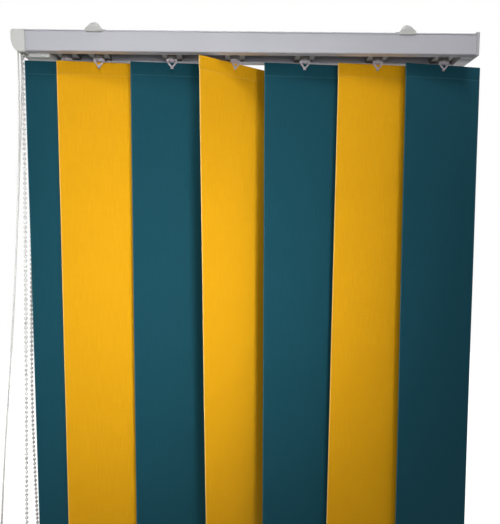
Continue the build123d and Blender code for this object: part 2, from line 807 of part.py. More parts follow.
save(head_rail(), "headrail")
save(control_end_cap(), "control_end_cap")
save(return_end_cap(), "return_end_cap")
save(tilt_rod(), "tilt_rod")
save(chain_sprocket(), "chain_sprocket")
save(guide_sheave(cord_front), "guide_sheave_front")
save(guide_sheave(cord_rear), "guide_sheave_rear")
save(guide_sheave_pin(), "guide_sheave_pin")
save(return_sheave(), "return_sheave")
save(return_sheave_pin(), "return_sheave_pin")
save(wall_bracket(-bracket_spacing / 2), "wall_bracket_left")
save(wall_bracket(bracket_spacing / 2), "wall_bracket_right")
save(rail_clip(-bracket_spacing / 2), "rail_clip_left")
save(rail_clip(bracket_spacing / 2), "rail_clip_right")
save(clip_screws(), "clip_screws")

plain_hook, plain_slat, plain_hanger, plain_weight = hook(), slat(), hanger(), bottom_weight()
for i in range(1, number_of_vanes + 1):
    save(carrier(i), f"carrier_{i}")
    save(on_vane(plain_hook, i), f"hook_{i}")
    save(on_vane(plain_slat, i), f"slat_{i}")
    save(on_vane(plain_hanger, i), f"hanger_{i}")
    save(on_vane(plain_weight, i), f"bottom_weight_{i}")
    if i < number_of_vanes:
        save(spacer(i), f"spacer_{i}")

save(tilt_chain(), "tilt_chain")
save(draw_cord(), "draw_cord")
save(cord_in_rail(), "cord_in_rail")
save(cord_weight(), "cord_weight")
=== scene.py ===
from math import cos, pi, radians, sin, sqrt

import bmesh
import bpy
from mathutils import Matrix, Vector


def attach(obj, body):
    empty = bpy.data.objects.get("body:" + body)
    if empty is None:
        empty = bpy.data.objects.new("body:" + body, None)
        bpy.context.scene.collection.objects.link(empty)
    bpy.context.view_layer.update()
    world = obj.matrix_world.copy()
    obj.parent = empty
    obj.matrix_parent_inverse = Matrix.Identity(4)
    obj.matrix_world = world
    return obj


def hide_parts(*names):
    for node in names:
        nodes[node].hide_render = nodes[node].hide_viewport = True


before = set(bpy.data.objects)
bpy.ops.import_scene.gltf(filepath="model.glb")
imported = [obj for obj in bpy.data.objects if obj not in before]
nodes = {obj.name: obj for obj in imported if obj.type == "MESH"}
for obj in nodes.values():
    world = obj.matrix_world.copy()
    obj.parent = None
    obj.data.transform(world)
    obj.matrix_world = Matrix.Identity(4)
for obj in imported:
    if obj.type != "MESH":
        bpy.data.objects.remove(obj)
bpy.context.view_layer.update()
scene = bpy.context.scene
print("frame loaded,", len(nodes), "nodes")

# Places that several pieces share, in metres: X along the rail, -Y to the room, +Z up
rail = {
    "middleY": -0.070,
    "vaneTop": -0.008,
}


def addNode(tree, kind, **settings):
    node = tree.nodes.new("ShaderNode" + kind)
    for key, value in settings.items():
        setattr(node, key, value)
    return node


def feed(tree, socket, value):
    # the value is a number, a colour or another node's output
    if isinstance(value, bpy.types.NodeSocket):
        tree.links.new(value, socket)
    else:
        socket.default_value = value


def calc(tree, operation, *values):
    node = addNode(tree, "Math", operation=operation)
    for socket, value in zip(node.inputs, values):
        feed(tree, socket, value)
    return node.outputs[0]


def mixColour(tree, share, low, high):
    node = addNode(tree, "Mix", data_type="RGBA")
    feed(tree, node.inputs[0], share)
    feed(tree, node.inputs[6], low)
    feed(tree, node.inputs[7], high)
    return node.outputs[2]


def noiseAt(tree, place, scale, detail=2.0):
    node = addNode(tree, "TexNoise")
    feed(tree, node.inputs["Vector"], place)
    feed(tree, node.inputs["Scale"], scale)
    feed(tree, node.inputs["Detail"], detail)
    return node.outputs["Fac"]


def wavesAlong(tree, place, step):
    # a sine that rises and falls once in each step
    turned = calc(tree, "DIVIDE", calc(tree, "MULTIPLY", place, 2 * pi), step)
    return calc(tree, "SINE", turned)


def aroundZero(tree, value, strength):
    # a noise of 0 to 1, moved to lie around 0 and weighted
    return calc(tree, "MULTIPLY", calc(tree, "SUBTRACT", value, 0.5), strength)


def newGroup(name, inputs, outputs):
    tree = bpy.data.node_groups.new(name, "ShaderNodeTree")
    for label, kind, value in inputs:
        socket = tree.interface.new_socket(name=label, in_out="INPUT", socket_type="NodeSocket" + kind)
        if value is not None:
            socket.default_value = value
    for label, kind in outputs:
        tree.interface.new_socket(name=label, in_out="OUTPUT", socket_type="NodeSocket" + kind)
    given = tree.nodes.new("NodeGroupInput").outputs
    result = tree.nodes.new("NodeGroupOutput").inputs
    return tree, given, result


def useGroup(tree, group, **values):
    node = tree.nodes.new("ShaderNodeGroup")
    node.node_tree = group
    for key, value in values.items():
        feed(tree, node.inputs[key], value)
    return node.outputs


def srgb(red, green, blue):
    # 0 to 255 as seen on a screen, to the linear colour that a socket takes
    linear = [((c / 255 + 0.055) / 1.055) ** 2.4 if c > 10 else c / 255 / 12.92 for c in (red, green, blue)]
    return (*linear, 1.0)


# The vanes' jacquard cloth: chevrons in columns, fine ribs both ways, yarn that isn't quite even
weave = {
    "columnWidth": 0.006,
    "chevronStep": 0.0022,
    "chevronSlant": 0.9,
    "ribStep": 0.0008,
    "contrast": 0.42,
    "yarnScale": 900.0,
    "yarnStretch": 0.04,
    "yarnTone": 0.7,
    "cloudScale": 14.0,
    "cloudTone": 0.25,
    "warpHeight": 0.25,
    "weftHeight": 0.15,
    "rough": (0.72, 0.16),
    "height": 0.00009,
}


def makeWeaveGroup():
    tree, given, result = newGroup(
        "jacquardWeave",
        [
            ("Cloth", "Vector", None),
            ("Base", "Color", (0.5, 0.5, 0.5, 1)),
            ("Light", "Color", (0.6, 0.6, 0.6, 1)),
            ("ColumnWidth", "Float", weave["columnWidth"]),
            ("ChevronStep", "Float", weave["chevronStep"]),
            ("RibStep", "Float", weave["ribStep"]),
            ("Contrast", "Float", weave["contrast"]),
        ],
        [("Colour", "Color"), ("Height", "Float"), ("Roughness", "Float")],
    )
    split = addNode(tree, "SeparateXYZ")
    tree.links.new(given["Cloth"], split.inputs[0])
    across, along = split.outputs[0], split.outputs[1]
    fold = calc(tree, "PINGPONG", across, given["ColumnWidth"])
    slant = calc(tree, "ADD", along, calc(tree, "MULTIPLY", fold, weave["chevronSlant"]))
    chevron = wavesAlong(tree, slant, given["ChevronStep"])
    warp = wavesAlong(tree, across, given["RibStep"])
    weft = wavesAlong(tree, along, given["RibStep"])
    stretch = addNode(tree, "Mapping")
    tree.links.new(given["Cloth"], stretch.inputs["Vector"])
    stretch.inputs["Scale"].default_value = (1.0, weave["yarnStretch"], 1.0)
    yarn = noiseAt(tree, stretch.outputs[0], weave["yarnScale"])
    cloud = noiseAt(tree, given["Cloth"], weave["cloudScale"], 3.0)
    share = calc(tree, "MULTIPLY_ADD", chevron, given["Contrast"], 0.5)
    share = calc(tree, "ADD", share, aroundZero(tree, yarn, weave["yarnTone"]))
    share = calc(tree, "ADD", share, aroundZero(tree, cloud, weave["cloudTone"]))
    tree.links.new(mixColour(tree, share, given["Base"], given["Light"]), result["Colour"])
    ribs = calc(tree, "MULTIPLY", weft, weave["weftHeight"])
    ribs = calc(tree, "MULTIPLY_ADD", warp, weave["warpHeight"], ribs)
    height = calc(tree, "ADD", calc(tree, "MULTIPLY", chevron, 0.5), ribs)
    tree.links.new(calc(tree, "ADD", height, calc(tree, "MULTIPLY", yarn, 0.5)), result["Height"])
    least, spread = weave["rough"]
    tree.links.new(calc(tree, "MULTIPLY_ADD", yarn, spread, least), result["Roughness"])
    return tree


def makeGrainGroup():
    # Fine grain and a little unevenness of tone, for paint and mouldings
    tree, given, result = newGroup(
        "surfaceGrain",
        [
            ("Place", "Vector", None),
            ("Base", "Color", (0.5, 0.5, 0.5, 1)),
            ("Dull", "Color", (0.4, 0.4, 0.4, 1)),
            ("GrainScale", "Float", 1600.0),
            ("ToneScale", "Float", 22.0),
            ("RoughLow", "Float", 0.35),
            ("RoughHigh", "Float", 0.5),
        ],
        [("Colour", "Color"), ("Height", "Float"), ("Roughness", "Float")],
    )
    grain = noiseAt(tree, given["Place"], given["GrainScale"], 1.0)
    tone = noiseAt(tree, given["Place"], given["ToneScale"], 4.0)
    share = addNode(tree, "MapRange")
    feed(tree, share.inputs["Value"], tone)
    share.inputs["From Min"].default_value = 0.35
    share.inputs["From Max"].default_value = 0.75
    tree.links.new(mixColour(tree, share.outputs[0], given["Base"], given["Dull"]), result["Colour"])
    tree.links.new(grain, result["Height"])
    rough = addNode(tree, "MapRange")
    feed(tree, rough.inputs["Value"], tone)
    feed(tree, rough.inputs["To Min"], given["RoughLow"])
    feed(tree, rough.inputs["To Max"], given["RoughHigh"])
    tree.links.new(rough.outputs[0], result["Roughness"])
    return tree


weaveGroup = makeWeaveGroup()
grainGroup = makeGrainGroup()


def newMaterial(name):
    material = bpy.data.materials.new(name)
    material.use_nodes = True
    tree = material.node_tree
    return material, tree, tree.nodes["Principled BSDF"]


def addBump(tree, shader, height, distance, strength=1.0):
    bump = addNode(tree, "Bump")
    bump.inputs["Strength"].default_value = strength
    bump.inputs["Distance"].default_value = distance
    tree.links.new(height, bump.inputs["Height"])
    tree.links.new(bump.outputs[0], shader.inputs["Normal"])


def bandMask(tree, value, middle, half):
    # 1 within a band, 0 outside it
    away = calc(tree, "ABSOLUTE", calc(tree, "SUBTRACT", value, middle))
    return calc(tree, "LESS_THAN", away, half)


def clothMaterial(name, cloth):
    # the cut sides and the welds are paler than the cloth: the cut sides partly for their cut fibres and
    # partly as a painted highlight of light catching the edges, the welds partly for melted yarn and partly
    # as a painted sheen of the pressed band
    material, tree, shader = newMaterial(name)
    uv = addNode(tree, "UVMap", uv_map="cloth")
    woven = useGroup(
        tree, weaveGroup, Cloth=uv.outputs[0], Base=srgb(*cloth["base"]), Light=srgb(*cloth["light"])
    )
    split = addNode(tree, "SeparateXYZ")
    tree.links.new(uv.outputs[0], split.inputs[0])
    across, down = split.outputs[0], split.outputs[1]
    # painted highlight: a pale band along both cut sides, partly the cut fibres' own paleness and partly
    # light catching the edges
    cut = addNode(tree, "MapRange")
    feed(tree, cut.inputs["Value"], calc(tree, "ABSOLUTE", across))
    cut.inputs["From Min"].default_value = vane["width"] / 2 - vane["paleAndLitEdge"]
    cut.inputs["From Max"].default_value = vane["width"] / 2
    teeth = calc(tree, "GREATER_THAN", wavesAlong(tree, across, vane["weldTooth"]), -0.55)
    topWeld = vane["topPocket"] + vane["weld"] / 2
    bottomWeld = vane["length"] - vane["bottomPocket"] - vane["weld"] / 2
    bands = [bandMask(tree, down, middle, vane["weld"] * 0.42) for middle in (topWeld, bottomWeld)]
    pressed = calc(tree, "MULTIPLY", calc(tree, "MAXIMUM", *bands), teeth)
    cutPaleAndLit = calc(tree, "MULTIPLY", cut.outputs[0], 0.9)
    # painted sheen: the weld bands are paled partly for melted yarn and partly for the shine of the pressed
    # band
    paleAndPaintedLight = calc(tree, "MAXIMUM", cutPaleAndLit, calc(tree, "MULTIPLY", pressed, cloth["weldPaleAndSheen"]))
    tree.links.new(mixColour(tree, paleAndPaintedLight, woven["Colour"], srgb(*cloth["edge"])), shader.inputs["Base Color"])
    tree.links.new(woven["Roughness"], shader.inputs["Roughness"])
    shader.inputs["Specular IOR Level"].default_value = 0.12
    shader.inputs["Sheen Weight"].default_value = 0.05
    shader.inputs["Sheen Roughness"].default_value = 0.45
    height = calc(tree, "SUBTRACT", woven["Height"], calc(tree, "MULTIPLY", pressed, 1.6))
    addBump(tree, shader, height, weave["height"])
    return material


def grainMaterial(name, base, dull, rough=(0.35, 0.5), metallic=0.0, grain=1600.0, tone=22.0, gloss=0.5):
    material, tree, shader = newMaterial(name)
    place = addNode(tree, "TexCoord").outputs["Object"]
    surface = useGroup(
        tree, grainGroup, Place=place, Base=srgb(*base), Dull=srgb(*dull), GrainScale=grain, ToneScale=tone,
        RoughLow=rough[0], RoughHigh=rough[1],
    )
    tree.links.new(surface["Colour"], shader.inputs["Base Color"])
    tree.links.new(surface["Roughness"], shader.inputs["Roughness"])
    shader.inputs["Metallic"].default_value = metallic
    shader.inputs["Specular IOR Level"].default_value = gloss
    addBump(tree, shader, surface["Height"], 0.000004)
    return material


def clearMaterial(name, tint, rough, transmission):
    # moulded clear plastic, faintly clouded
    material, tree, shader = newMaterial(name)
    place = addNode(tree, "TexCoord").outputs["Object"]
    surface = useGroup(tree, grainGroup, Place=place, GrainScale=700.0, ToneScale=120.0)
    shader.inputs["Base Color"].default_value = srgb(*tint)
    shader.inputs["Roughness"].default_value = rough
    shader.inputs["Transmission Weight"].default_value = transmission
    shader.inputs["IOR"].default_value = 1.49
    addBump(tree, shader, surface["Height"], 0.00003)
    return material


# What a vane is made to, and how each one hangs: twists and leans are those at the share of the
# drop that is named last
vane = {
    "places": [-0.2245, -0.186, -0.097, -0.020, 0.066, 0.156, 0.238],
    "turns": [5.0, 6.0, 5.0, 34.0, 5.0, 6.0, 9.0],
    "twists": [0.0, 0.0, 0.0, 5.0, 0.0, 0.0, 0.0],
    "leans": [0.0005, 0.0, -0.001, 0.0045, 0.0005, -0.006, 0.0025],
    "width": 0.100,
    "length": 1.000,
    "cloth": 0.00045,
    "hanger": 0.0008,
    "plate": 0.0016,
    "topPocket": 0.015,
    "bottomPocket": 0.038,
    "taper": 0.002,
    "weld": 0.0015,
    "weldDip": 0.00012,
    "punchWidth": 0.0038,
    "punchHeight": 0.0034,
    "punchDrop": 0.0059,
    "curl": 0.0005,
    "ripple": 0.0002,
    "ripples": 5.2,
    # the width of the pale band at the cut sides, partly a painted highlight
    "paleAndLitEdge": 0.0014,
    "weldTooth": 0.0016,
    "weldRim": 0.0003,
    "weldPress": 0.98,
    "bend": 0.0007,
    "rowStep": 0.0118,
    "pocketRowStep": 0.0085,
    "columnStep": 0.005,
    "sideColumn": 0.0008,
    "heldTop": 0.02,
    "heldBottom": 0.03,
    "easing": 7,
    "leanShare": 0.6,
}

# The finishes, in colours of 0 to 255: paint, mouldings and metal, clear plastic, and cloth
plainFinishes = {
    "railPaint": {
        "base": (199, 199, 206), "dull": (191, 191, 199), "rough": (0.36, 0.48), "tone": 9.0, "gloss": 0.3,
    },
    "capPlastic": {"base": (216, 217, 214), "dull": (208, 208, 204), "rough": (0.3, 0.42)},
    # painted shade: a darker, greyer copy of the cap plastic for the far end cap, standing for the dimmer
    # light at that end of the rail
    "farCapShadedPlastic": {"base": (200, 199, 204), "dull": (192, 191, 196), "rough": (0.3, 0.42)},
    # painted shade: the carriers' plastic is off-white; this mid-grey stands for the shade inside the rail
    "shadedCarrierPlastic": {"base": (112, 111, 108), "dull": (98, 96, 92), "grain": 900.0, "gloss": 0.3},
    "hangerPlastic": {"base": (224, 226, 226), "dull": (212, 214, 214)},
    "weightSteel": {
        "base": (176, 178, 180), "dull": (140, 141, 142), "rough": (0.35, 0.55), "metallic": 1.0,
        "grain": 400.0, "tone": 60.0,
    },
    "springSteel": {
        "base": (196, 194, 190), "dull": (168, 164, 158), "rough": (0.22, 0.34), "metallic": 1.0,
        "grain": 900.0, "tone": 40.0,
    },
    "rodMetal": {
        "base": (206, 207, 209), "dull": (184, 186, 190), "rough": (0.24, 0.36), "metallic": 1.0,
        "grain": 700.0, "tone": 30.0,
    },
    "bracketPaint": {"base": (214, 214, 212), "dull": (200, 200, 197), "rough": (0.4, 0.55)},
    "beadPlastic": {"base": (240, 240, 238), "dull": (226, 226, 222), "rough": (0.2, 0.3), "tone": 60.0},
}
clearFinishes = {
    "clearHook": {"tint": (222, 214, 222), "rough": 0.25, "transmission": 0.35},
    "milkyClip": {"tint": (226, 226, 223), "rough": 0.3, "transmission": 0.3},
}
cloths = {
    # the edge colour is partly a painted highlight on the cut sides, and the welds' pale share is partly a
    # painted sheen
    "tealCloth": {"base": (15, 68, 82), "light": (27, 83, 98), "edge": (72, 122, 132), "weldPaleAndSheen": 0.36},
    "yellowCloth": {
        "base": (228, 160, 8), "light": (248, 184, 22), "edge": (250, 220, 140), "weldPaleAndSheen": 0.12,
    },
}
paints = {name: grainMaterial(name, **finish) for name, finish in plainFinishes.items()}
paints.update({name: clearMaterial(name, **finish) for name, finish in clearFinishes.items()})
paints.update({name: clothMaterial(name, cloth) for name, cloth in cloths.items()})
print("materials made")


def paint(node, material):
    # a carried-over part keeps its mesh and takes a new finish
    for slot in nodes[node].material_slots:
        slot.material = paints[material]


carried = {
    "headrail": "railPaint",
    # the far end cap's darker copy of the cap plastic is painted shade
    "return_end_cap": "farCapShadedPlastic",
    "tilt_rod": "rodMetal",
    # the sprocket and the sheaves inside the rail take the carriers' grey, which is painted shade
    "chain_sprocket": "shadedCarrierPlastic",
    "guide_sheave_front": "shadedCarrierPlastic",
    "guide_sheave_rear": "shadedCarrierPlastic",
    "guide_sheave_pin": "springSteel",
    "return_sheave": "shadedCarrierPlastic",
    "return_sheave_pin": "springSteel",
    "wall_bracket_left": "bracketPaint",
    "wall_bracket_right": "bracketPaint",
    "clip_screws": "springSteel",
    "cord_in_rail": "beadPlastic",
    "cord_weight": "capPlastic",
}
for node, material in carried.items():
    paint(node, material)
for i in range(1, len(vane["places"]) + 1):
    # painted shade: the carriers take the grey that stands for the shade inside the rail
    paint(f"carrier_{i}", "shadedCarrierPlastic")
    paint(f"hanger_{i}", "hangerPlastic")
    paint(f"bottom_weight_{i}", "weightSteel")
    if i < len(vane["places"]):
        paint(f"spacer_{i}", "springSteel")
print("carried-over parts painted")


def newPiece(name, mesh, material, body, slotName, *replaced):
    piece = bpy.data.objects.new(name, mesh)
    scene.collection.objects.link(piece)
    if not mesh.materials:
        mesh.materials.append(paints[material])
    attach(piece, body)
    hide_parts(*replaced)
    return piece


def meshFrom(name, points, faces, smooth=True):
    mesh = bpy.data.meshes.new(name)
    mesh.from_pydata([tuple(p) for p in points], [], faces)
    mesh.update()
    mesh.polygons.foreach_set("use_smooth", [smooth] * len(mesh.polygons))
    return mesh


def readRoute(name, points):
    # the smooth line of a cord, read from one spline whose control points are the route
    curve = bpy.data.curves.new(name, "CURVE")
    curve.dimensions = "3D"
    spline = curve.splines.new("NURBS")
    spline.points.add(len(points) - 1)
    for point, place in zip(spline.points, points):
        point.co = (*place, 1.0)
    spline.order_u = 3
    spline.use_endpoint_u = True
    spline.resolution_u = 24
    holder = bpy.data.objects.new(name, curve)
    scene.collection.objects.link(holder)
    bpy.context.view_layer.update()
    line = bpy.data.meshes.new_from_object(holder)
    places = [v.co.copy() for v in line.vertices]
    bpy.data.objects.remove(holder)
    bpy.data.meshes.remove(line)
    return places


def placesAlong(line, distances):
    # the point and the direction at each distance along a line
    found = []
    walked, i = 0.0, 0
    step = (line[1] - line[0]).length
    for distance in distances:
        while walked + step < distance and i < len(line) - 2:
            walked += step
            i += 1
            step = (line[i + 1] - line[i]).length
        share = (distance - walked) / step
        found.append((line[i].lerp(line[i + 1], share), (line[i + 1] - line[i]).normalized()))
    return found


def lineLength(line):
    return sum((b - a).length for a, b in zip(line, line[1:]))


def tubeMesh(name, stations, sides):
    # stations are (place, direction, radius or a function of the angle)
    points, faces = [], []
    side = Vector((1, 0, 0)).cross(stations[0][1]).normalized()
    for place, direction, radius in stations:
        side = (side - direction * side.dot(direction)).normalized()
        other = direction.cross(side)
        for k in range(sides):
            angle = 2 * pi * k / sides
            r = radius(angle) if callable(radius) else radius
            points.append(place + (side * cos(angle) + other * sin(angle)) * r)
    for ring in range(len(stations) - 1):
        for k in range(sides):
            a, b = ring * sides + k, ring * sides + (k + 1) % sides
            faces.append((a, b, b + sides, a + sides))
    last = (len(stations) - 1) * sides
    faces.append(tuple(reversed(range(sides))))
    faces.append(tuple(range(last, last + sides)))
    return meshFrom(name, points, faces)


# The bead chain's loop, from its front strand at the sprocket round to its rear strand
chain = {
    "beadRadius": 0.0021,
    "coreRadius": 0.0005,
    "pitch": 0.006,
    "saddleBeads": 5,
    "saddleRows": 32,
    "sides": 12,
    "start": (-0.2772, -0.073549, 0.0092),
    "route": [
        (0.0, 0.0, 0.0),
        (-0.0001, -0.0001, -0.042),
        (-0.0008, -0.0003, -0.098),
        (-0.0014, -0.001, -0.158),
        (-0.0024, -0.0017, -0.219),
        (-0.0035, -0.0026, -0.281),
        (-0.0044, -0.0039, -0.343),
        (-0.0057, -0.0048, -0.405),
        (-0.0066, -0.0062, -0.467),
        (-0.008, -0.0072, -0.529),
        (-0.009, -0.0087, -0.59),
        (-0.0101, -0.0099, -0.65),
        (-0.0108, -0.0106, -0.709),
        (-0.0112, -0.0108, -0.766),
        (-0.011, -0.0098, -0.8201),
        (-0.0106, 0.0016, -0.8315),
        (-0.0104, 0.0178, -0.8315),
        (-0.0104, 0.0292, -0.8201),
        (-0.0102, 0.0299, -0.764),
        (-0.0108, 0.0294, -0.706),
        (-0.0117, 0.0282, -0.647),
        (-0.0124, 0.0267, -0.587),
        (-0.0128, 0.0257, -0.526),
        (-0.0128, 0.0242, -0.465),
        (-0.0116, 0.0235, -0.403),
        (-0.0094, 0.0222, -0.341),
        (-0.007, 0.0216, -0.279),
        (-0.0047, 0.0206, -0.218),
        (-0.0027, 0.0201, -0.157),
        (-0.0009, 0.0195, -0.098),
        (-0.0001, 0.0192, -0.042),
        (0.0, 0.019098, 0.0),
    ],
}


def beadStations(line, count):
    # ten rings a bead: the bare core between beads, then the bead's round
    rounds = [0.97, 0.88, 0.66, 0.36, 0.0, -0.36, -0.66, -0.88, -0.97]
    pitch = lineLength(line) / count
    distances, radii = [0.0], [chain["coreRadius"]]
    for i in range(count):
        middle = (i + 0.5) * pitch
        for share in rounds:
            distances.append(middle - share * chain["beadRadius"])
            radii.append(max(chain["coreRadius"], chain["beadRadius"] * sqrt(1 - share * share)))
        distances.append((i + 1) * pitch - 1e-6)
        radii.append(chain["coreRadius"])
    return [(place, way, radius) for (place, way), radius in zip(placesAlong(line, distances), radii)]


def makeChain():
    start = Vector(chain["start"])
    line = readRoute("chainRoute", [start + Vector(p) for p in chain["route"]])
    length = lineLength(line)
    count = round(length / chain["pitch"])
    loop = newPiece(
        "tiltChain", tubeMesh("tiltChain", beadStations(line, count), chain["sides"]),
        "beadPlastic", "root", "bead_plastic", "tilt_chain",
    )
    radius = chain["route"][-1][1] / 2
    over = []
    for k in range(chain["saddleRows"] + 1):
        angle = pi * k / chain["saddleRows"]
        over.append(start + radius * Vector((0, 1 - cos(angle), sin(angle))))
    saddle = newPiece(
        "sprocketBeads", tubeMesh("sprocketBeads", beadStations(over, chain["saddleBeads"]), chain["sides"]),
        "beadPlastic", "root", "bead_plastic", "tilt_chain",
    )
    print("bead chain:", count, "beads, length", round(length, 3))


makeChain()

# The draw cord, from its front exit down to the drop weight and back up to its rear exit
drawCord = {
    "radius": 0.0009,
    "sides": 10,
    "braidStep": 0.0046,
    "ringStep": 0.0009,
    "braidRise": 0.07,
    "start": (-0.276, -0.0875, -0.0043),
    "route": [
        (0.0, 0.0, 0.0),
        (-0.0001, 0.0001, -0.026),
        (-0.0012, 0.0006, -0.062),
        (-0.0026, 0.0009, -0.108),
        (-0.0054, 0.0004, -0.162),
        (-0.0086, -0.0006, -0.222),
        (-0.0126, -0.0014, -0.284),
        (-0.0174, -0.0028, -0.346),
        (-0.0226, -0.0040, -0.408),
        (-0.0280, -0.0056, -0.470),
        (-0.0330, -0.0068, -0.532),
        (-0.0370, -0.0082, -0.592),
        (-0.0400, -0.0090, -0.650),
        (-0.0416, -0.0096, -0.704),
        (-0.0422, -0.0091, -0.742),
        (-0.0423, -0.0092, -0.760),
        (-0.0423, -0.0012, -0.760),
        (-0.0425, -0.0011, -0.742),
        (-0.0423, -0.0017, -0.704),
        (-0.0410, -0.0026, -0.650),
        (-0.0383, -0.0032, -0.592),
        (-0.0345, -0.0029, -0.532),
        (-0.0298, -0.0023, -0.470),
        (-0.0243, -0.0010, -0.408),
        (-0.0191, 0.0002, -0.346),
        (-0.0143, 0.0016, -0.284),
        (-0.0102, 0.0028, -0.222),
        (-0.0067, 0.0046, -0.162),
        (-0.0036, 0.0062, -0.108),
        (-0.0014, 0.0072, -0.062),
        (-0.0001, 0.0079, -0.026),
        (0.0, 0.008, 0.0),
    ],
}


def makeDrawCord():
    start = Vector(drawCord["start"])
    line = readRoute("cordRoute", [start + Vector(p) for p in drawCord["route"]])
    length = lineLength(line)
    count = int(length / drawCord["ringStep"])
    distances = [length * i / count for i in range(count)] + [length - 1e-6]
    stations = []
    for distance, (place, way) in zip(distances, placesAlong(line, distances)):
        phase = 2 * pi * distance / drawCord["braidStep"]

        def braided(angle, phase=phase):
            # two sets of strands that cross each other
            lift = max(sin(4 * angle + phase), sin(4 * angle - phase))
            return drawCord["radius"] * (1 + drawCord["braidRise"] * (lift - 0.5))

        stations.append((place, way, braided))
    cord = newPiece(
        "drawCord", tubeMesh("drawCord", stations, drawCord["sides"]),
        "beadPlastic", "root", "cord_fibre", "draw_cord",
    )
    print("draw cord: length", round(length, 3))


makeDrawCord()


def smoothStep(value):
    value = max(0.0, min(1.0, value))
    return value * value * (3 - 2 * value)


def reshaped(node, name, cuts, move, sharpAngle=32):
    # a moulding's own mesh, with extra rows of points where it is rounded, and each point moved
    shape = bmesh.new()
    shape.from_mesh(nodes[node].data)
    for normal, places in cuts:
        for place in places:
            everything = list(shape.verts) + list(shape.edges) + list(shape.faces)
            bmesh.ops.bisect_plane(shape, geom=everything, plane_co=Vector(normal) * place, plane_no=normal)
    for vertex in shape.verts:
        vertex.co = move(vertex.co.copy())
    mesh = bpy.data.meshes.new(name)
    shape.to_mesh(mesh)
    shape.free()
    mesh.polygons.foreach_set("use_smooth", [True] * len(mesh.polygons))
    mesh.set_sharp_from_angle(angle=radians(sharpAngle))
    return mesh


# The control end's cap, whose left outline is one long soft curve
endCap = {
    "left": -0.2815,
    "right": -0.2655,
    "bottom": -0.0043,
    "top": 0.0233,
    "oldCorner": 0.007,
    "oldShoulder": 0.002,
    "curveAcross": 0.0095,
    "curveUp": 0.017,
    "shoulder": 0.0042,
    "lowered": 0.0205,
    "newTop": 0.0217,
    "cornerRows": (15, 0.0011),
    "shoulderRows": (13, 0.0005),
}


def curveInset(away, across, up):
    # how far a rounded corner's outline stands in, at a distance from the corner
    if away >= up:
        return 0.0
    return across * (1 - sqrt(max(0.0, 1 - ((up - max(away, 0.0)) / up) ** 2)))


def roundEndCap(point):
    if point.x > endCap["right"]:
        return point
    fromBottom = point.z - endCap["bottom"]
    old = max(
        curveInset(fromBottom, endCap["oldCorner"], endCap["oldCorner"]),
        curveInset(endCap["top"] - point.z, endCap["oldShoulder"], endCap["oldShoulder"]),
    )
    if point.z > endCap["lowered"]:
        share = (point.z - endCap["lowered"]) / (endCap["top"] - endCap["lowered"])
        point.z = endCap["lowered"] + share * (endCap["newTop"] - endCap["lowered"])
    new = max(
        curveInset(fromBottom, endCap["curveAcross"], endCap["curveUp"]),
        curveInset(endCap["newTop"] - point.z, endCap["shoulder"], endCap["shoulder"]),
    )
    width = endCap["right"] - endCap["left"]
    inside = point.x - endCap["left"] - old
    point.x = endCap["left"] + new + inside * (width - new) / (width - old)
    return point


def makeEndCap():
    # new rows of points up from the corner and down from the shoulder
    count, step = endCap["cornerRows"]
    levels = [endCap["bottom"] + step * k for k in range(1, count + 1)]
    count, step = endCap["shoulderRows"]
    levels += [endCap["top"] - step * k for k in range(1, count + 1)]
    mesh = reshaped("control_end_cap", "controlCap", [((0, 0, 1), levels)], roundEndCap)
    newPiece("controlCap", mesh, "capPlastic", "root", "cap_plastic", "control_end_cap")


# The clips, each with a rounded snap nose that stands up in front of the bracket's arm
clip = {
    "places": {"left": -0.185, "right": 0.185},
    "half": 0.0105,
    "top": 0.025,
    "front": -0.09385,
    "noseDepth": 0.0105,
    "rise": 0.0062,
    "endDrop": 0.0026,
    "skin": 0.0016,
}


def makeClips():
    for side, middle in clip["places"].items():

        def raiseNose(point, middle=middle):
            # a dome over the nose, and its ends drawn down a little
            above = point.z - clip["top"] + clip["skin"]
            if above < 0:
                return point
            across = min(1.0, abs(point.x - middle) / clip["half"])
            back = max(0.0, min(1.0, (point.y - clip["front"]) / clip["noseDepth"]))
            dome = (1 - across * across) ** 1.1
            dome *= 1 - smoothStep((back - 0.3) / 0.7)
            dome *= 0.55 + 0.45 * smoothStep(back / 0.4)
            ends = smoothStep((across - 0.3) / 0.7) * (1 - smoothStep(back))
            point.z += (clip["rise"] * dome - clip["endDrop"] * ends) * above / clip["skin"]
            return point

        rows = [middle + clip["half"] * (k / 9) for k in range(-8, 9)]
        lines = [clip["front"] + clip["noseDepth"] * k / 10 for k in range(1, 11)]
        node = f"rail_clip_{side}"
        mesh = reshaped(node, f"{side}Clip", [((1, 0, 0), rows), ((0, 1, 0), lines)], raiseNose)
        newPiece(mesh.name, mesh, "milkyClip", "root", "clear_plastic", node)


makeEndCap()
makeClips()
print("end cap and clips rounded")

# The hooks' front loops, drawn in to small hearts, and their nibs slimmed to hide behind them
heart = {
    "loopTop": -0.0069,
    "loopDrop": 0.0101,
    "drawn": 0.85,
    "bulge": 0.16,
    "loopBack": -0.00095,
    "nibFront": -0.0008,
    "nibBottom": -0.0154,
    "nibTop": -0.0121,
    "nibSlim": 0.48,
}


def vanePlace(number):
    # where the vane's hook turns, with the vane's own turn
    place = Matrix.Translation((vane["places"][number - 1], rail["middleY"], 0))
    return place @ Matrix.Rotation(radians(vane["turns"][number - 1]), 4, "Z")


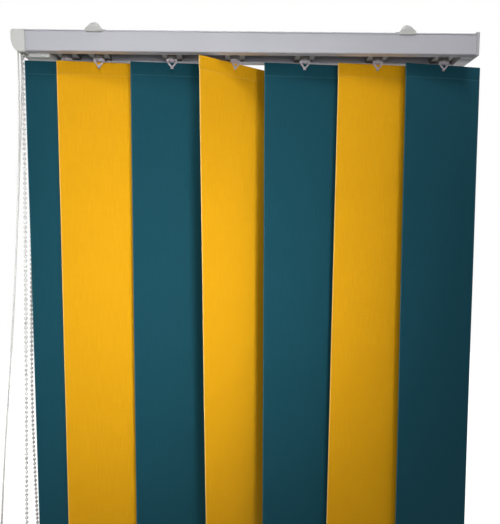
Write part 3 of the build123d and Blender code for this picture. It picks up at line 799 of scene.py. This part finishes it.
def makeHook(number):
    there = vanePlace(number)
    back = there.inverted()

    def drawIn(point):
        local = back @ point
        if local.z < heart["loopTop"] and local.y < heart["loopBack"]:
            low = (heart["loopTop"] - local.z) / heart["loopDrop"]
            local.x *= 1 + heart["bulge"] * sin(pi * min(1.0, low))
            local.z = heart["loopTop"] - low * heart["loopDrop"] * heart["drawn"]
        elif local.y < heart["nibFront"] and heart["nibBottom"] < local.z < heart["nibTop"]:
            local.x *= heart["nibSlim"]
        return there @ local

    rows = [heart["loopTop"] - heart["loopDrop"] * k / 12 for k in range(1, 12)]
    mesh = reshaped(f"hook_{number}", f"heartHook_{number}", [((0, 0, 1), rows)], drawIn)
    newPiece(mesh.name, mesh, "clearHook", f"vane_{number}", "clear_plastic", f"hook_{number}")


for number in range(1, len(vane["places"]) + 1):
    makeHook(number)
print("hooks drawn in")


def hang(number, point):
    # how the cloth departs from flat: held flat by its hanger and its bottom plate, free between
    depth = (rail["vaneTop"] - point.z) / vane["length"]
    free = smoothStep((depth - vane["heldTop"]) * vane["easing"])
    free *= smoothStep((1.0 - depth - vane["heldBottom"]) * vane["easing"])
    across = 2 * point.x / vane["width"]
    moved = point.copy()
    moved.y += vane["curl"] * (across * across - 0.33) * free
    moved.y += vane["ripple"] * sin(vane["ripples"] * pi * depth + number) * across * free
    fall = max(0.0, depth - vane["heldTop"]) / vane["leanShare"]
    moved = Matrix.Rotation(radians(vane["twists"][number - 1]) * fall, 3, "Z") @ moved
    moved.x += vane["leans"][number - 1] * fall
    return moved


def vaneSection():
    # the cloth's middle line from the top flap's end, over the top, down and round under the plate
    half = vane["cloth"] / 2
    top = rail["vaneTop"]
    bottom = top - vane["length"]
    front = -vane["hanger"] / 2 - half
    back = vane["hanger"] / 2 + half
    welded = front + vane["cloth"] * vane["weldPress"]
    rear = front + vane["plate"] + vane["cloth"]
    section = [(welded, top - vane["topPocket"] - vane["weld"]), (welded, top - vane["topPocket"])]
    section.append((back - 0.0001, top - vane["topPocket"] + vane["taper"]))
    punchTop = top - vane["punchDrop"] + vane["punchHeight"] / 2
    punchBottom = punchTop - vane["punchHeight"]
    section += [(back, punchBottom), (back, (punchTop + punchBottom) / 2), (back, punchTop)]
    middle = (front + back) / 2
    radius = (back - front) / 2
    centre = top - radius - half
    for k in range(9):
        angle = pi * k / 8
        section.append((middle + radius * cos(angle), centre + radius * sin(angle)))
    section += [(front, punchTop), (front, (punchTop + punchBottom) / 2), (front, punchBottom)]
    for weldTop in (top - vane["topPocket"], bottom + vane["bottomPocket"] + vane["weld"]):
        if weldTop < top - 0.1:
            start = section[-1][1]
            count = int((start - weldTop) / vane["rowStep"])
            for k in range(1, count):
                section.append((front, start + (weldTop - start) * k / count))
        section.append((front, weldTop + vane["weldRim"]))
        section.append((front + vane["weldDip"], weldTop))
        section.append((front + vane["weldDip"], weldTop - vane["weld"]))
        section.append((front, weldTop - vane["weld"] - vane["weldRim"]))
    for k in range(1, 4):
        section.append((front, section[-1][1] - vane["pocketRowStep"]))
    bend = vane["bend"]
    for k in range(5):
        angle = pi / 2 * k / 4
        section.append((front + bend - bend * cos(angle), bottom + half + bend - bend * sin(angle)))
    for k in range(5):
        angle = pi / 2 * k / 4
        section.append((rear - bend + bend * sin(angle), bottom + half + bend - bend * cos(angle)))
    flapTop = bottom + vane["bottomPocket"]
    for k in range(1, 4):
        section.append((rear, bottom + (flapTop - vane["taper"] - bottom) * k / 3))
    section += [(welded, flapTop), (welded, flapTop + vane["weld"])]
    return section, (punchBottom, punchTop)


def makeVane(number):
    section, punch = vaneSection()
    half = vane["width"] / 2
    columns = [-half, -half + vane["sideColumn"]]
    columns += [-half + vane["columnStep"] * k for k in range(1, 10)]
    columns += [-vane["punchWidth"] / 2, 0.0]
    columns += [-c for c in reversed(columns[:-1])]
    points, marks = [], []
    for y, z in section:
        for x in columns:
            points.append(hang(number, Vector((x, y, z))))
            marks.append((x, rail["vaneTop"] - z))
    faces = []
    wide = len(columns)
    for row in range(len(section) - 1):
        level = (section[row][1] + section[row + 1][1]) / 2
        for k in range(wide - 1):
            middle = abs(columns[k] + columns[k + 1]) / 2
            inPunch = punch[0] < level < punch[1] and middle < vane["punchWidth"] / 2
            if not inPunch:
                a = row * wide + k
                faces.append((a, a + 1, a + wide + 1, a + wide))
    mesh = meshFrom(f"vaneCloth_{number}", points, faces)
    layer = mesh.uv_layers.new(name="cloth")
    for loop in mesh.loops:
        layer.data[loop.index].uv = marks[loop.vertex_index]
    mesh.transform(vanePlace(number))
    colour = ("teal", "yellow")[(number - 1) % 2]
    cloth = newPiece(
        mesh.name, mesh, colour + "Cloth", f"vane_{number}", colour + "_fabric", f"slat_{number}"
    )
    thick = cloth.modifiers.new("thickness", "SOLIDIFY")
    thick.thickness = vane["cloth"]
    thick.offset = 0.0
    plate = bendPlate(number)
    return cloth


def bendPlate(number):
    # the bottom plate hangs with its vane, so it takes the same twist and lean
    old = f"bottom_weight_{number}"
    mesh = nodes[old].data.copy()
    mesh.name = f"bottomPlate_{number}"
    there = vanePlace(number)
    back = there.inverted()
    for vertex in mesh.vertices:
        vertex.co = there @ hang(number, back @ vertex.co)
    mesh.materials.clear()
    return newPiece(mesh.name, mesh, "weightSteel", f"vane_{number}", "weight_steel", old)


for number in range(1, len(vane["places"]) + 1):
    makeVane(number)
print("vanes made")

# The pale floor under the blind, which grows whiter to the camera between two distances from its middle
stage = {
    "floorZ": -1.2,
    "half": 3.0,
    "rows": 12,
    "white": (0.69, 0.95),
    "fade": (0.7, 1.5),
}


def backgroundSeen(tree):
    # 1 where the background itself is seen, directly or in gloss and clear plastic
    path = addNode(tree, "LightPath").outputs
    seen = calc(tree, "MAXIMUM", path["Is Camera Ray"], path["Is Glossy Ray"])
    return calc(tree, "MAXIMUM", seen, path["Is Transmission Ray"])


def makeStage():
    count = stage["rows"]
    points, faces = [], []
    for i in range(count + 1):
        for j in range(count + 1):
            points.append((stage["half"] * (2 * i / count - 1), stage["half"] * (2 * j / count - 1), 0.0))
    for i in range(count):
        for j in range(count):
            a = i * (count + 1) + j
            faces.append((a, a + count + 1, a + count + 2, a + 1))
    floor = bpy.data.objects.new("floor", meshFrom("floor", points, faces))
    floor.location.z = stage["floorZ"]
    scene.collection.objects.link(floor)
    material, tree, shader = newMaterial("paleFloor")
    place = addNode(tree, "TexCoord").outputs["Object"]
    surface = useGroup(
        tree, grainGroup, Place=place, Base=srgb(242, 241, 239), Dull=srgb(236, 235, 232), GrainScale=300.0,
        ToneScale=2.0, RoughLow=0.8, RoughHigh=0.9,
    )
    tree.links.new(surface["Colour"], shader.inputs["Base Color"])
    tree.links.new(surface["Roughness"], shader.inputs["Roughness"])
    # almost white to the camera, in gloss and through clear plastic, and its shadow stays
    shader.inputs["Emission Color"].default_value = (1.0, 1.0, 1.0, 1.0)
    away = addNode(tree, "VectorMath", operation="LENGTH")
    tree.links.new(place, away.inputs[0])
    white = addNode(tree, "MapRange")
    tree.links.new(away.outputs["Value"], white.inputs["Value"])
    white.inputs["From Min"].default_value, white.inputs["From Max"].default_value = stage["fade"]
    white.inputs["To Min"].default_value, white.inputs["To Max"].default_value = stage["white"]
    strength = calc(tree, "MULTIPLY", backgroundSeen(tree), white.outputs[0])
    tree.links.new(strength, shader.inputs["Emission Strength"])
    # clear from underneath, so that the blind is seen from below
    either = addNode(tree, "MixShader")
    feed(tree, either.inputs[0], addNode(tree, "NewGeometry").outputs["Backfacing"])
    tree.links.new(shader.outputs[0], either.inputs[1])
    tree.links.new(addNode(tree, "BsdfTransparent").outputs[0], either.inputs[2])
    tree.links.new(either.outputs[0], tree.nodes["Material Output"].inputs["Surface"])
    floor.data.materials.append(material)


makeStage()

# Soft studio light: a softbox from the right front that falls off to the sides, a broad fill, a long
# strip over the rail, and weak lamps at the left and behind
lights = {
    "softbox": {
        "place": (0.36, -1.02, -0.20), "aim": (-0.13, -0.07, -0.29),
        "size": (0.34, 0.34), "spread": 43, "power": 0.56,
    },
    "fill": {
        "place": (-0.06, -1.05, -0.14), "aim": (-0.02, -0.07, -0.34),
        "size": (0.5, 0.5), "spread": 180, "power": 1.28,
    },
    "railStrip": {
        "place": (0.10, -0.32, 0.33), "aim": (0.10, -0.09, 0.030),
        "size": (0.96, 0.16), "spread": 34, "power": 0.19,
    },
    "leftSide": {
        "place": (-0.95, -0.60, 0.02), "aim": (-0.22, -0.08, -0.28),
        "size": (0.4, 0.6), "spread": 120, "power": 0.9,
    },
    "behind": {
        "place": (0.10, 1.15, 0.80), "aim": (0.0, -0.05, -0.40),
        "size": (0.9, 0.6), "spread": 180, "power": 5.5,
    },
}
worldLevel = 0.24


def makeLights():
    for name, item in lights.items():
        data = bpy.data.lights.new(name, "AREA")
        data.shape = "ELLIPSE"
        data.size, data.size_y = item["size"]
        data.energy = item["power"]
        data.spread = radians(item["spread"])
        lamp = bpy.data.objects.new(name, data)
        scene.collection.objects.link(lamp)
        lamp.location = item["place"]
        way = Vector(item["aim"]) - Vector(item["place"])
        lamp.rotation_euler = way.to_track_quat("-Z", "Y").to_euler()
    world = bpy.data.worlds.new("softWorld")
    scene.world = world
    world.use_nodes = True
    tree = world.node_tree
    level = calc(tree, "MULTIPLY_ADD", backgroundSeen(tree), 1.0 - worldLevel, worldLevel)
    background = tree.nodes["Background"]
    background.inputs["Color"].default_value = (1.0, 1.0, 1.0, 1.0)
    tree.links.new(level, background.inputs["Strength"])


makeLights()

# The camera, fitted to the rail's corners, the hooks and the vanes' edges in the photo
view = {
    "place": (-0.0101, -0.6606, -0.2095),
    "yaw": 0.92,
    "pitch": -4.18,
    "roll": 0.18,
    "focalPixels": 467.1,
    "frameWidth": 500,
}


def makeCamera():
    data = bpy.data.cameras.new("camera")
    data.sensor_fit = "HORIZONTAL"
    data.sensor_width = 36.0
    data.lens = view["focalPixels"] / view["frameWidth"] * data.sensor_width
    data.clip_start = 0.01
    camera = bpy.data.objects.new("camera", data)
    scene.collection.objects.link(camera)
    aim = Matrix.Rotation(radians(-view["yaw"]), 4, "Z")
    aim = aim @ Matrix.Rotation(radians(90 + view["pitch"]), 4, "X")
    aim = aim @ Matrix.Rotation(radians(view["roll"]), 4, "Z")
    camera.matrix_world = Matrix.Translation(view["place"]) @ aim
    scene.camera = camera


makeCamera()
scene.view_settings.view_transform = "Standard"
print("stage, lights and camera set")
